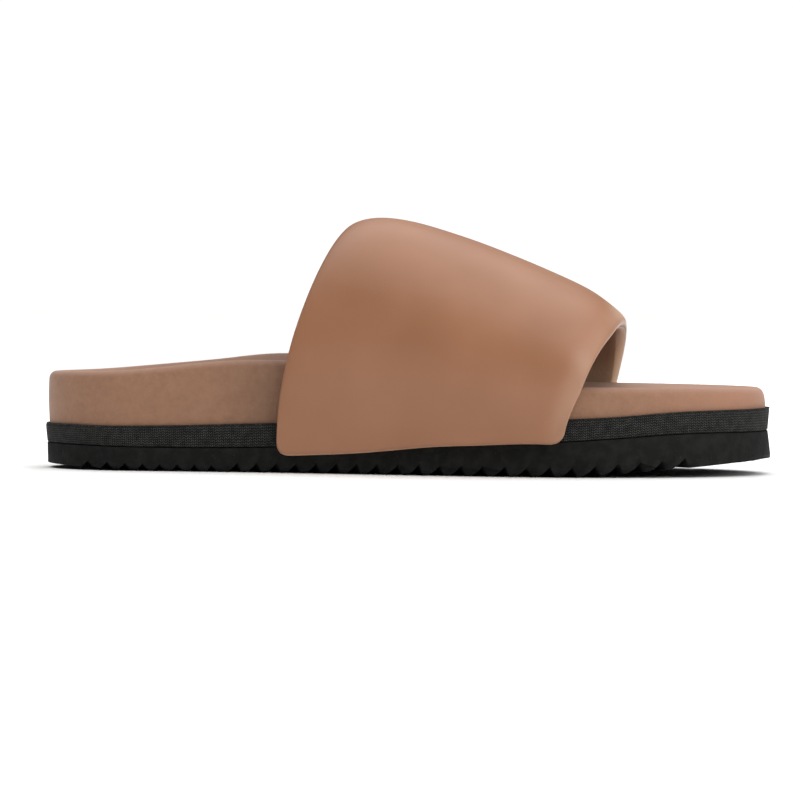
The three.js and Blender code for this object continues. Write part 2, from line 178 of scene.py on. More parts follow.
class TapeSettings(PropertyGroup):
    thread: colour("Thread", "Dark threads of the tape", "#0D0E0D")
    # Grey for the painted highlight on the rounds of the black threads
    thread_highlight: colour("Thread, lighter", "Grey threads of the tape", "#565654")
    pitch: length("Pitch", "Distance between two points of the zigzag", 1.5)
    row: length("Row", "Distance between two threads across the tape", 0.72)
    lean: length("Lean", "How far the tape's top stands out round the toe", 0.5)
    heel_rise: length("Heel rise", "How far the tape's top rises round the heel", 0.5)
    softened: length("Softened edge", "Radius of the tape's folded edges", 0.18)


class OutsoleSettings(PropertyGroup):
    foam: colour("Foam", "Moulded foam of the outsole", "#121211")
    foam_pale: colour("Foam, paler", "Skin of the foam, where it is rubbed", "#1C1C1B")
    speck: colour("Speck", "Pale specks and dust in the pores", "#5A5A55")
    pore: length("Pore", "Size of the foam's pores", 0.9)
    roughness: factor("Roughness", "Roughness of the foam", 0.7)


class StageSettings(PropertyGroup):
    floor: colour("Floor", "Plain pale floor", "#FAFAF9")
    overhead: FloatProperty(
        name="Overhead light", description="Strength of the soft light overhead", default=1.98
    )
    walls: FloatProperty(
        name="Walls", description="Strength of the light from the walls", default=0.1
    )
    back_power: FloatProperty(
        name="Back light",
        description="Power of the light behind the sandal",
        default=10.0,
        unit="POWER",
    )
    front_power: FloatProperty(
        name="Front light",
        description="Power of the light before the toe",
        default=10.5,
        unit="POWER",
    )


def add_node(tree, kind, inputs=None, **settings):
    """Adds a node, sets its options, and sets or links its inputs by name or number."""
    made = tree.nodes.new(kind)
    for name, value in settings.items():
        setattr(made, name, value)
    for key, value in (inputs or {}).items():
        socket = made.inputs[key]
        if isinstance(value, bpy.types.NodeSocket):
            tree.links.new(value, socket)
        elif socket.type == "RGBA" and len(value) == 3:
            socket.default_value = (*value, 1.0)
        else:
            socket.default_value = value
    return made


def new_material(name):
    """An empty node material with its shader and output."""
    material = bpy.data.materials.new(name)
    material.use_nodes = True
    tree = material.node_tree
    tree.nodes.clear()
    shader = add_node(tree, "ShaderNodeBsdfPrincipled")
    add_node(tree, "ShaderNodeOutputMaterial", {"Surface": shader.outputs["BSDF"]})
    return material, tree, shader


def strap_leathers(strap):
    """Nappa outside: full-grain leather dyed and finished smooth, so it has a soft broad sheen
    and a grain too fine to see from afar. Brushed split leather inside: matt and a little
    hairy. It ends at a sewn seam along the inner front edge, where the nappa puckers."""
    material, tree, shader = new_material("nappa_leather_finished")
    place = add_node(tree, "ShaderNodeTexCoord").outputs["Object"]
    span = add_node(tree, "ShaderNodeAttribute", attribute_name="span").outputs["Vector"]
    parts = add_node(tree, "ShaderNodeSeparateXYZ", {"Vector": span})
    front, rear, around = (parts.outputs[axis] for axis in "XYZ")
    # The lining ends at its seam in front, which runs inside the edge on the lateral side,
    # and under the leather turned in at the rear
    seam_place = add_node(
        tree,
        "ShaderNodeMapRange",
        {
            "Value": around,
            "From Min": 60 * MM,
            "From Max": 74 * MM,
            "To Min": -0.8 * MM,
            "To Max": strap.seam_at,
        },
    ).outputs[0]
    seam = add_node(
        tree, "ShaderNodeMath", {0: front, 1: seam_place}, operation="SUBTRACT"
    ).outputs[0]
    before = add_node(
        tree, "ShaderNodeMapRange", {"Value": seam, "From Min": 0.1 * MM, "From Max": -0.1 * MM}
    ).outputs[0]
    deep = add_node(tree, "ShaderNodeMath", {0: rear}, operation="ABSOLUTE").outputs[0]
    past = add_node(
        tree,
        "ShaderNodeMapRange",
        {"Value": deep, "From Min": strap.turned, "From Max": strap.turned + 0.2 * MM},
    ).outputs[0]
    lined = add_node(
        tree, "ShaderNodeMath", {0: before, 1: past}, operation="MULTIPLY"
    ).outputs[0]
    # Broad clouds of the dye, about 30 mm across
    clouds = add_node(
        tree, "ShaderNodeTexNoise", {"Vector": place, "Scale": 32.0, "Detail": 2.0}
    ).outputs["Fac"]
    cloudy = add_node(
        tree, "ShaderNodeMapRange", {"Value": clouds, "From Min": 0.3, "From Max": 0.7}
    ).outputs[0]
    outside = add_node(
        tree,
        "ShaderNodeMix",
        {"Factor": cloudy, "A": strap.leather, "B": strap.leather_dark},
        data_type="RGBA",
    ).outputs["Result"]
    # Painted highlight along the rolled front edge, stronger over the foot than down the sides
    painted_highlight = add_node(
        tree,
        "ShaderNodeMapRange",
        {"Value": seam, "From Min": 11 * MM, "From Max": 0.4 * MM, "To Max": 0.75},
        interpolation_type="SMOOTHSTEP",
    ).outputs[0]
    over_foot = add_node(
        tree,
        "ShaderNodeMapRange",
        {"Value": around, "From Min": 50 * MM, "From Max": 85 * MM, "To Min": 0.32, "To Max": 1.0},
    ).outputs[0]
    painted_highlight = add_node(
        tree, "ShaderNodeMath", {0: painted_highlight, 1: over_foot}, operation="MULTIPLY"
    ).outputs[0]
    outside = add_node(
        tree, "ShaderNodeMix", {"Factor": painted_highlight, "A": outside, "B": strap.edge}, data_type="RGBA"
    ).outputs["Result"]
    # Nap of about 0.5 mm on the lining, and a painted highlight where the lining turns towards its
    # seam
    nap = add_node(
        tree, "ShaderNodeTexNoise", {"Vector": place, "Scale": 1400.0, "Detail": 3.0}
    ).outputs["Fac"]
    inside = add_node(
        tree,
        "ShaderNodeMix",
        {"Factor": nap, "A": strap.lining, "B": strap.lining_dark},
        data_type="RGBA",
    ).outputs["Result"]
    highlight_at_turn = add_node(
        tree,
        "ShaderNodeMapRange",
        {"Value": front, "From Min": -6 * MM, "From Max": 0.0, "To Max": 0.8},
        interpolation_type="SMOOTHSTEP",
    ).outputs[0]
    inside = add_node(
        tree, "ShaderNodeMix", {"Factor": highlight_at_turn, "A": inside, "B": strap.lining_highlight}, data_type="RGBA"
    ).outputs["Result"]
    tint = add_node(
        tree, "ShaderNodeMix", {"Factor": lined, "A": outside, "B": inside}, data_type="RGBA"
    ).outputs["Result"]
    # Puckers at the seam, uneven, over the foot and fading down to the lower edges
    turns = add_node(
        tree, "ShaderNodeMath", {0: around, 1: strap.pucker}, operation="DIVIDE"
    ).outputs[0]
    drift = add_node(
        tree, "ShaderNodeMath", {0: clouds, 1: 9.0, 2: turns}, operation="MULTIPLY_ADD"
    ).outputs[0]
    angle = add_node(
        tree, "ShaderNodeMath", {0: drift, 1: 2 * math.pi}, operation="MULTIPLY"
    ).outputs[0]
    wave = add_node(tree, "ShaderNodeMath", {0: angle}, operation="SINE").outputs[0]
    # Shade and dust in the seam's groove, broken where a pucker pulls it shut
    off = add_node(tree, "ShaderNodeMath", {0: seam}, operation="ABSOLUTE").outputs[0]
    groove = add_node(
        tree, "ShaderNodeMapRange", {"Value": off, "From Min": 0.6 * MM, "From Max": 0.15 * MM}
    ).outputs[0]
    open_part = add_node(
        tree, "ShaderNodeMapRange", {"Value": wave, "From Min": -1.0, "To Min": 0.45, "To Max": 1.0}
    ).outputs[0]
    shade = add_node(
        tree, "ShaderNodeMath", {0: groove, 1: open_part}, operation="MULTIPLY"
    ).outputs[0]
    tint = add_node(
        tree, "ShaderNodeMix", {"Factor": shade, "A": tint, "B": strap.seam_shade}, data_type="RGBA"
    ).outputs["Result"]
    tree.links.new(tint, shader.inputs["Base Color"])
    rough = add_node(
        tree,
        "ShaderNodeMapRange",
        {"Value": lined, "To Min": strap.roughness, "To Max": 0.9},
    ).outputs[0]
    tree.links.new(rough, shader.inputs["Roughness"])
    # A thin clear finish over the dye gives the nappa its second, tighter sheen
    shader.inputs["Coat Weight"].default_value = 0.16
    shader.inputs["Coat Roughness"].default_value = 0.3
    # Heights in metres: grain, then puckers, groove and nap
    grain = add_node(
        tree, "ShaderNodeTexVoronoi", {"Vector": place, "Scale": 1 / strap.grain}, feature="SMOOTH_F1"
    ).outputs["Distance"]
    height = add_node(
        tree, "ShaderNodeMath", {0: grain, 1: 0.02 * MM}, operation="MULTIPLY"
    ).outputs[0]
    fading = add_node(
        tree,
        "ShaderNodeMapRange",
        {"Value": seam, "From Min": 5 * MM, "From Max": 0.6 * MM},
        interpolation_type="SMOOTHSTEP",
    ).outputs[0]
    over = add_node(
        tree,
        "ShaderNodeMapRange",
        {"Value": around, "From Min": 55 * MM, "From Max": 80 * MM, "To Min": 0.1, "To Max": 1.0},
    ).outputs[0]
    outer = add_node(
        tree, "ShaderNodeMapRange", {"Value": seam, "From Min": 0.0, "From Max": 0.4 * MM}
    ).outputs[0]
    fading = add_node(
        tree, "ShaderNodeMath", {0: fading, 1: over}, operation="MULTIPLY"
    ).outputs[0]
    fading = add_node(
        tree, "ShaderNodeMath", {0: fading, 1: outer}, operation="MULTIPLY"
    ).outputs[0]
    puckers = add_node(
        tree, "ShaderNodeMath", {0: wave, 1: fading}, operation="MULTIPLY"
    ).outputs[0]
    height = add_node(
        tree, "ShaderNodeMath", {0: puckers, 1: 0.16 * MM, 2: height}, operation="MULTIPLY_ADD"
    ).outputs[0]
    height = add_node(
        tree, "ShaderNodeMath", {0: groove, 1: -0.4 * MM, 2: height}, operation="MULTIPLY_ADD"
    ).outputs[0]
    hair = add_node(tree, "ShaderNodeMath", {0: nap, 1: lined}, operation="MULTIPLY").outputs[0]
    height = add_node(
        tree, "ShaderNodeMath", {0: hair, 1: 0.12 * MM, 2: height}, operation="MULTIPLY_ADD"
    ).outputs[0]
    bump = add_node(tree, "ShaderNodeBump", {"Height": height, "Strength": 1.0, "Distance": 1.0})
    tree.links.new(bump.outputs["Normal"], shader.inputs["Normal"])
    return material


def buffed_leather(footbed):
    """Nubuck: the grain side buffed to a short nap, soft and matt with faint mottling. It has a
    painted highlight on its faces that look up, the rim's among them, and painted shade where
    it goes under the strap, where it is also finely rippled."""
    material, tree, shader = new_material("nubuck_leather_buffed")
    place = add_node(tree, "ShaderNodeTexCoord").outputs["Object"]
    along = add_node(tree, "ShaderNodeSeparateXYZ", {"Vector": place}).outputs["X"]
    mottle = add_node(
        tree, "ShaderNodeTexNoise", {"Vector": place, "Scale": 330.0, "Detail": 6.0, "Roughness": 0.7}
    ).outputs["Fac"]
    tint = add_node(
        tree,
        "ShaderNodeMix",
        {"Factor": mottle, "A": footbed.leather, "B": footbed.leather_dark},
        data_type="RGBA",
    ).outputs["Result"]
    toward_toe = add_node(
        tree,
        "ShaderNodeMapRange",
        {
            "Value": along,
            "From Min": LEATHER_PINKER[0],
            "From Max": LEATHER_PINKER[1],
            "To Max": 0.8,
        },
        interpolation_type="SMOOTHSTEP",
    ).outputs[0]
    tint = add_node(
        tree,
        "ShaderNodeMix",
        {"Factor": toward_toe, "A": tint, "B": footbed.leather_pink},
        data_type="RGBA",
    ).outputs["Result"]
    # Painted highlight on the faces that look up, such as the rim
    facing = add_node(tree, "ShaderNodeNewGeometry").outputs["Normal"]
    upward = add_node(tree, "ShaderNodeSeparateXYZ", {"Vector": facing}).outputs["Z"]
    painted_highlight = add_node(
        tree,
        "ShaderNodeMapRange",
        {"Value": upward, "From Min": 0.1, "From Max": 0.75, "To Max": 0.3},
        interpolation_type="SMOOTHSTEP",
    ).outputs[0]
    tint = add_node(
        tree,
        "ShaderNodeMix",
        {"Factor": painted_highlight, "A": tint, "B": footbed.top_highlight},
        data_type="RGBA",
    ).outputs["Result"]
    # Painted shade of the strap, from just behind it, where it starts 43 mm behind the middle
    wear_and_shade = add_node(
        tree,
        "ShaderNodeMapRange",
        {"Value": along, "From Min": STRAP_SHADE_ZONE[0], "From Max": STRAP_SHADE_ZONE[1]},
        interpolation_type="SMOOTHSTEP",
    ).outputs[0]
    under = add_node(
        tree,
        "ShaderNodeMapRange",
        {
            "Value": along,
            "From Min": UNDER_STRAP[0],
            "From Max": UNDER_STRAP[1],
            "To Min": 1.0,
            "To Max": 0.0,
        },
    ).outputs[0]
    wear_and_shade = add_node(
        tree, "ShaderNodeMath", {0: wear_and_shade, 1: under}, operation="MULTIPLY"
    ).outputs[0]
    painted_shade = add_node(tree, "ShaderNodeMath", {0: wear_and_shade, 1: 0.3}, operation="MULTIPLY").outputs[0]
    tint = add_node(
        tree,
        "ShaderNodeMix",
        {"Factor": painted_shade, "A": tint, "B": footbed.strap_shade},
        data_type="RGBA",
    ).outputs["Result"]
    tree.links.new(tint, shader.inputs["Base Color"])
    shader.inputs["Roughness"].default_value = footbed.roughness
    shader.inputs["Sheen Weight"].default_value = 0.15
    # Heights in metres: the nap, and ripples by the strap that wander a little
    nap = add_node(
        tree, "ShaderNodeTexNoise", {"Vector": place, "Scale": 0.6 / footbed.nap, "Detail": 4.0}
    ).outputs["Fac"]
    height = add_node(
        tree, "ShaderNodeMath", {0: nap, 1: 0.13 * MM}, operation="MULTIPLY"
    ).outputs[0]
    ripples = add_node(
        tree,
        "ShaderNodeTexWave",
        {"Vector": place, "Scale": 0.314 / footbed.ripple, "Distortion": 3.0, "Detail": 1.0},
    ).outputs["Fac"]
    ripples = add_node(
        tree, "ShaderNodeMath", {0: ripples, 1: wear_and_shade}, operation="MULTIPLY"
    ).outputs[0]
    height = add_node(
        tree, "ShaderNodeMath", {0: ripples, 1: 0.03 * MM, 2: height}, operation="MULTIPLY_ADD"
    ).outputs[0]
    bump = add_node(tree, "ShaderNodeBump", {"Height": height, "Strength": 1.0, "Distance": 1.0})
    tree.links.new(bump.outputs["Normal"], shader.inputs["Normal"])
    return material


def herringbone_tape(tape):
    """Cotton and polyester tape woven in a herringbone: its threads zigzag along the tape,
    black in their gaps and greyer on their rounds by a painted highlight, patchy here and there."""
    material, tree, shader = new_material("cotton_tape_woven")
    place = add_node(tree, "ShaderNodeTexCoord").outputs["Object"]
    run = add_node(tree, "ShaderNodeUVMap", uv_map="run").outputs["UV"]
    # The threads wander by up to a third of a millimetre
    drift = add_node(
        tree, "ShaderNodeTexNoise", {"Vector": place, "Scale": 260.0, "Detail": 2.0}
    ).outputs["Color"]
    wander = (0.7 * MM, 0.7 * MM, 0.0)
    run = add_node(
        tree, "ShaderNodeVectorMath", {0: drift, 1: wander, 2: run}, operation="MULTIPLY_ADD"
    ).outputs[0]
    parts = add_node(tree, "ShaderNodeSeparateXYZ", {"Vector": run})
    half = tape.pitch / 2
    zigzag = add_node(
        tree, "ShaderNodeMath", {0: parts.outputs["X"], 1: half}, operation="PINGPONG"
    ).outputs[0]
    # A thread climbs three quarters of a row before it turns
    lean = add_node(
        tree, "ShaderNodeMath", {0: zigzag, 1: 0.75 / half}, operation="MULTIPLY"
    ).outputs[0]
    rows = add_node(
        tree,
        "ShaderNodeMath",
        {0: parts.outputs["Y"], 1: 1 / tape.row, 2: lean},
        operation="MULTIPLY_ADD",
    ).outputs[0]
    floats = add_node(
        tree, "ShaderNodeMath", {0: parts.outputs["X"], 1: 1 / half}, operation="MULTIPLY"
    ).outputs[0]
    rounds = []
    for value in (rows, floats):
        share = add_node(tree, "ShaderNodeMath", {0: value}, operation="FRACT").outputs[0]
        angle = add_node(
            tree, "ShaderNodeMath", {0: share, 1: math.pi}, operation="MULTIPLY"
        ).outputs[0]
        rounds.append(add_node(tree, "ShaderNodeMath", {0: angle}, operation="SINE").outputs[0])
    ends = add_node(
        tree, "ShaderNodeMath", {0: rounds[1], 1: 0.5, 2: 0.5}, operation="MULTIPLY_ADD"
    ).outputs[0]
    height = add_node(
        tree, "ShaderNodeMath", {0: rounds[0], 1: ends}, operation="MULTIPLY"
    ).outputs[0]
    # The rounds of the black threads carry a painted highlight in grey, patchy here and there
    patchy_highlight = add_node(
        tree, "ShaderNodeTexNoise", {"Vector": place, "Scale": 420.0, "Detail": 4.0}
    ).outputs["Fac"]
    patchy_highlight = add_node(
        tree, "ShaderNodeMath", {0: patchy_highlight, 1: 0.5, 2: 0.25}, operation="MULTIPLY_ADD"
    ).outputs[0]
    strength = add_node(
        tree, "ShaderNodeMath", {0: height, 1: patchy_highlight}, operation="MULTIPLY"
    ).outputs[0]
    weave_highlight = add_node(
        tree, "ShaderNodeMapRange", {"Value": strength, "From Min": 0.24, "From Max": 0.64}
    ).outputs[0]
    tint = add_node(
        tree,
        "ShaderNodeMix",
        {"Factor": weave_highlight, "A": tape.thread, "B": tape.thread_highlight},
        data_type="RGBA",
    ).outputs["Result"]
    tree.links.new(tint, shader.inputs["Base Color"])
    shader.inputs["Roughness"].default_value = 0.85
    shader.inputs["Specular IOR Level"].default_value = 0.2
    bump = add_node(
        tree, "ShaderNodeBump", {"Height": height, "Strength": 0.9, "Distance": 0.25 * MM}
    )
    tree.links.new(bump.outputs["Normal"], shader.inputs["Normal"])
    return material


def moulded_foam(sole):
    """EVA foam, moulded: matt black, a little paler where its skin is worn, with fine pores
    of which a few hold pale dust."""
    material, tree, shader = new_material("eva_foam_moulded")
    place = add_node(tree, "ShaderNodeTexCoord").outputs["Object"]
    wear_and_shade = add_node(
        tree, "ShaderNodeTexNoise", {"Vector": place, "Scale": 300.0, "Detail": 5.0}
    ).outputs["Fac"]
    wear_and_shade = add_node(
        tree, "ShaderNodeMapRange", {"Value": wear_and_shade, "From Min": 0.4, "From Max": 0.65}
    ).outputs[0]
    tint = add_node(
        tree,
        "ShaderNodeMix",
        {"Factor": wear_and_shade, "A": sole.foam, "B": sole.foam_pale},
        data_type="RGBA",
    ).outputs["Result"]
    pores = add_node(
        tree, "ShaderNodeTexVoronoi", {"Vector": place, "Scale": 0.5 / sole.pore}
    ).outputs["Distance"]
    dust = add_node(
        tree, "ShaderNodeMapRange", {"Value": pores, "From Min": 0.06, "From Max": 0.03}
    ).outputs[0]
    tint = add_node(
        tree, "ShaderNodeMix", {"Factor": dust, "A": tint, "B": sole.speck}, data_type="RGBA"
    ).outputs["Result"]
    tree.links.new(tint, shader.inputs["Base Color"])
    shader.inputs["Roughness"].default_value = sole.roughness
    shader.inputs["Specular IOR Level"].default_value = 0.15
    skin = add_node(
        tree, "ShaderNodeTexNoise", {"Vector": place, "Scale": 900.0, "Detail": 5.0}
    ).outputs["Fac"]
    bump = add_node(
        tree, "ShaderNodeBump", {"Height": skin, "Strength": 0.6, "Distance": 0.25 * MM}
    )
    tree.links.new(bump.outputs["Normal"], shader.inputs["Normal"])
    return material


def merged_copy(node):
    """A CAD node's loose triangles as one skin."""
    bm = bmesh.new()
    bm.from_mesh(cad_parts[node].data)
    bmesh.ops.remove_doubles(bm, verts=bm.verts[:], dist=0.000002)
    return bm


def turned(triangle, edge, steps):
    """The edge some steps further round a triangle."""
    edges = [corner.edge for corner in triangle.loops]
    return edges[(edges.index(edge) + steps) % 3]


def beyond(triangle, edge):
    """The triangle on the other side of an edge."""
    one, other = edge.link_faces
    return other if one is triangle else one


def apart(pair, edge):
    """An edge's two vertices, first the one that is also on the other edge."""
    one, other = pair.verts
    return (one, other) if one in edge.verts else (other, one)


def swept_rings(bm, near):
    """Joins a swept skin's triangles into quads, and gives its rings of vertices in order.

    Every quad of such a skin is cut along the same diagonal, so round each triangle come
    the diagonal, then a ring's edge, then a run's edge. The walk starts at the triangle
    whose middle lies nearest to a point, where the quads are near square, and goes round
    its ring and then from ring to ring, until the skin closes or ends at a lid."""
    first = min(bm.faces, key=lambda f: (f.calc_center_median() - near).length)
    diagonal = max(first.edges, key=lambda e: e.calc_length())
    row = []
    triangle = first
    while not row or triangle is not first:
        row.append((triangle, beyond(triangle, diagonal), diagonal))
        run = turned(triangle, diagonal, 2)
        triangle = beyond(triangle, run)
        diagonal = turned(triangle, run, 1)
        triangle = beyond(triangle, diagonal)
    rows = [row]
    seen = {f for quad in row for f in quad[:2]}
    for side in (0, 1):
        row = rows[0] if side == 0 else rows[-1]
        while True:
            ahead = []
            for quad in row:
                ring = turned(quad[side], quad[2], 1)
                triangle = beyond(quad[side], ring)
                diagonal = turned(triangle, ring, 2)
                pair = (beyond(triangle, diagonal), triangle)
                ahead.append((*(pair if side == 0 else pair[::-1]), diagonal))
            found = {f for quad in ahead for f in quad[:2]}
            if len(found) < 2 * len(row) or found & seen:
                break
            seen |= found
            row = ahead
            rows = [row, *rows] if side == 0 else [*rows, row]
    rings = [[apart(turned(q[0], q[2], 1), q[2])[0] for q in row] for row in rows]
    rings.append([apart(turned(q[1], q[2], 1), q[2])[1] for q in rows[-1]])
    bmesh.ops.dissolve_edges(bm, edges=[q[2] for row in rows for q in row], use_verts=False)
    return rings


def corner_places(rings):
    """For each quad between the rings, the row and column of each of its vertices."""
    places = {}
    for r, (low, high) in enumerate(zip(rings, rings[1:])):
        for k in range(len(low)):
            after = (k + 1) % len(low)
            corners = {low[k]: (r, k), high[k]: (r + 1, k)}
            corners.update({low[after]: (r, k + 1), high[after]: (r + 1, k + 1)})
            places[frozenset(corners)] = corners
    return places


def lengths_along(points):
    """Distances from the first point along a line through all of them."""
    found = [0.0]
    for a, b in zip(points, points[1:]):
        found.append(found[-1] + (b - a).length)
    return found


def new_piece(name, bm, materials):
    """An object at the origin from a finished bmesh."""
    mesh = bpy.data.meshes.new(name)
    bm.to_mesh(mesh)
    bm.free()
    for material in materials:
        mesh.materials.append(material)
    mesh.shade_smooth()
    piece = bpy.data.objects.new(name, mesh)
    bpy.context.scene.collection.objects.link(piece)
    return piece


class SANDAL_OT_outsole(Operator):
    """Adds the moulded foam outsole"""

    bl_idname = "sandal.outsole"
    bl_label = "Outsole"

    def execute(self, context):
        sole = context.scene.sandal_outsole
        bm = merged_copy("outsole")
        piece = new_piece("foam_outsole", bm, [moulded_foam(sole)])
        piece.data.set_sharp_from_angle(angle=math.radians(28))
        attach(piece, "root")
        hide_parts("outsole")
        return {"FINISHED"}


def risen(value, low, high):
    """A smooth step from nought at low to one at high."""
    share = min(max((value - low) / (high - low), 0.0), 1.0)
    return share * share * (3 - 2 * share)


def tape_run(bm):
    """Gives the tape a UV map in metres: along it, and round its section from the foot of its
    outer face. It starts under the strap on the medial side, where a real tape is joined."""
    low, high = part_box("woven_rand")
    under_strap = Vector((0.0, high.y, (low.z + high.z) / 2))
    rings = swept_rings(bm, under_strap)[:-1]
    count = len(rings)
    heel = min(range(len(rings[0])), key=lambda k: rings[0][k].co.x)
    outer = sorted(range(count), key=lambda r: rings[r][heel].co.x)[:2]
    foot = min(outer, key=lambda r: rings[r][heel].co.z)
    upward = 1 if rings[(foot + 1) % count][heel].co.z > rings[foot - 1][heel].co.z else -1
    rings = [rings[(foot + upward * r) % count] for r in range(count + 1)]
    along = lengths_along([v.co for v in [*rings[0], rings[0][0]]])
    across = lengths_along([ring[heel].co for ring in rings])
    run = bm.loops.layers.uv.new("run")
    places = corner_places(rings)
    for face in bm.faces:
        for corner in face.loops:
            r, k = places[frozenset(face.verts)][corner.vert]
            corner[run].uv = (along[k], across[r])
    return rings[:-1]


class SANDAL_OT_tape(Operator):
    """Adds the woven tape round the footbed's lower margin"""

    bl_idname = "sandal.tape"
    bl_label = "Woven tape"

    def execute(self, context):
        tape = context.scene.sandal_tape
        bm = merged_copy("woven_rand")
        rings = tape_run(bm)
        for v in rings[1]:
            v.co.x += tape.lean * risen(v.co.x, *TAPE_LEANS)
        for v in [*rings[1], *rings[2]]:
            v.co.z += tape.heel_rise * risen(v.co.x, *TAPE_RISES)
        folds = [
            bm.edges.get((a, b)) for ring in rings for a, b in zip(ring, [*ring[1:], ring[0]])
        ]
        bmesh.ops.bevel(
            bm,
            geom=folds,
            offset=tape.softened,
            offset_type="OFFSET",
            segments=2,
            profile=0.5,
            affect="EDGES",
            material=-1,
        )
        piece = new_piece("herringbone_tape", bm, [herringbone_tape(tape)])
        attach(piece, "root")
        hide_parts("woven_rand")
        return {"FINISHED"}


def lift_outer_rim(bm, lift):
    """Lifts the padding of the outer rim at the waist, which runs up behind the heel and dies
    out under the strap."""
    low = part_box("footbed")[0]
    for v in bm.verts:
        ahead = risen(v.co.x, *RIM_RISES) * risen(v.co.x, *RIM_FALLS)
        outward = risen(v.co.y, -8 * MM, -26 * MM)
        upward = risen(v.co.z, low.z + 6 * MM, low.z + 17 * MM)
        v.co.z += lift * ahead * outward * upward


class SANDAL_OT_footbed(Operator):
    """Adds the leather-covered footbed"""

    bl_idname = "sandal.footbed"
    bl_label = "Footbed"

    def execute(self, context):
        footbed = context.scene.sandal_footbed
        bm = merged_copy("footbed")
        low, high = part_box("footbed")
        swept_rings(bm, Vector((0.0, high.y, (low.z + high.z) / 2)))
        lift_outer_rim(bm, footbed.lift)
        piece = new_piece("leather_footbed", bm, [buffed_leather(footbed)])
        rounding = piece.modifiers.new("Subdivision", "SUBSURF")
        rounding.levels = footbed.subdivisions
        rounding.render_levels = footbed.subdivisions
        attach(piece, "root")
        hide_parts("footbed")
        return {"FINISHED"}


def strap_skin(bm):
    """Gives each corner of the strap its distances over the leather from the front opening
    and from the rear edge, negative inside, and its distance round the foot."""
    top = max((v.co for v in bm.verts), key=lambda co: co.z)
    rings = swept_rings(bm, top)
    if rings[0][0].co.y > rings[-1][0].co.y:
        rings.reverse()
    # The inner front edge is the sharpest turn in the front half of the middle ring
    middle = rings[len(rings) // 2]
    count = len(middle)

    def sharpness(k):
        before = middle[k].co - middle[k - 1].co
        after = middle[(k + 1) % count].co - middle[k].co
        return before.angle(after)

    ahead = [k for k in range(count) if middle[k].co.x > top.x + 0.02]
    first = max(ahead, key=sharpness)
    outward = 1 if middle[(first + 1) % count].co.z > middle[first - 1].co.z else -1
    rings = [[ring[(first + outward * k) % count] for k in range(count)] for ring in rings]
    span = bm.loops.layers.float_vector.new("span")
    reach = [lengths_along([v.co for v in [*ring, ring[0]]]) for ring in rings]
    around = lengths_along([ring[1].co for ring in rings])
    places = corner_places(rings)
    rear = count // 2 + 1
    for face in bm.faces:
        corners = places.get(frozenset(face.verts))
        if corners is None:
            continue
        inside = min(k for r, k in corners.values()) >= rear
        for corner in face.loops:
            r, k = corners[corner.vert]
            front = reach[r][k] - (reach[r][-1] if inside else 0)
            corner[span] = (front, reach[r][rear] - reach[r][k], around[r])
    return rings


def between(rows, key, place, value):
    """A table's value at a place between its rows."""
    for low, high in zip(rows, rows[1:]):
        if place <= high[key]:
            share = (place - low[key]) / (high[key] - low[key])
            return low[value] + share * (high[value] - low[value])
    return rows[-1][value]


def fill_edges(bm, rings, rear_fill):
    """Draws the strap's two edges out, so that the padding rounds them to their real place,
    and rolls the front one over the opening."""
    half = len(rings[0]) // 2
    around = lengths_along([ring[1].co for ring in rings])
    bm.normal_update()
    for r, ring in enumerate(rings):
        place = around[r] / around[-1]
        outer, inner, down, out = (
            between(FRONT_ROLL, "round", place, value) * MM
            for value in ("outer", "inner", "down", "out")
        )
        way = (ring[0].co + ring[1].co - ring[-1].co - ring[2].co).normalized()
        inward = (ring[0].co - ring[1].co).normalized()
        ring[0].co += way * inner + inward * down
        ring[1].co += way * outer - inward * out
        ring[2].co += way * outer * 0.4 - inward * out * 0.8
        ring[3].co -= inward * out * 0.4
        way = (ring[half].co + ring[half + 1].co - ring[half - 1].co - ring[half + 2].co).normalized()
        for v in (ring[half], ring[half + 1]):
            v.co += way * rear_fill


def crease(bm, rings):
    """Presses the soft creases into the strap's outer face."""
    half = len(rings[0]) // 2
    middle = rings[len(rings) // 2]
    long = lengths_along([v.co for v in middle[1 : half + 1]])[-1]
    around = lengths_along([ring[1].co for ring in rings])
    bm.normal_update()
    moves = []
    for r, ring in enumerate(rings):
        reach = lengths_along([v.co for v in ring[1 : half + 1]])
        for k, v in enumerate(ring[1 : half + 1]):
            at = Vector(((1 - reach[k] / reach[-1]) * long, around[r]))
            depth = 0.0
            for row in CREASES:
                start, end = (
                    Vector((row["along"][i] * long, row["round"][i] * around[-1])) for i in (0, 1)
                )
                share = (at - start).dot(end - start) / (end - start).length_squared
                nearest = start + (end - start) * min(max(share, 0.0), 1.0)
                off = (at - nearest).length / (row["width"] * MM)
                depth += row["depth"] * MM * math.exp(-off * off)
            moves.append((v, v.normal * -depth))
    for v, move in moves:
        v.co += move


def settled(piece, levels):
    """Applies a subdivision to a piece's mesh."""
    rounding = piece.modifiers.new("Subdivision", "SUBSURF")
    rounding.levels = levels
    rounding.render_levels = levels
    shaped = piece.evaluated_get(bpy.context.evaluated_depsgraph_get())
    mesh = bpy.data.meshes.new_from_object(shaped)
    piece.modifiers.clear()
    piece.data = mesh


class SANDAL_OT_strap(Operator):
    """Adds the padded strap over the foot, with its lining"""

    bl_idname = "sandal.strap"
    bl_label = "Padded strap"

    def execute(self, context):
        strap = context.scene.sandal_strap
        bm = merged_copy("upper")
        rings = strap_skin(bm)
        crease(bm, rings)
        fill_edges(bm, rings, strap.rear_fill)
        piece = new_piece("padded_strap", bm, [strap_leathers(strap)])
        settled(piece, strap.subdivisions)
        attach(piece, "root")
        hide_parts("upper")
        return {"FINISHED"}


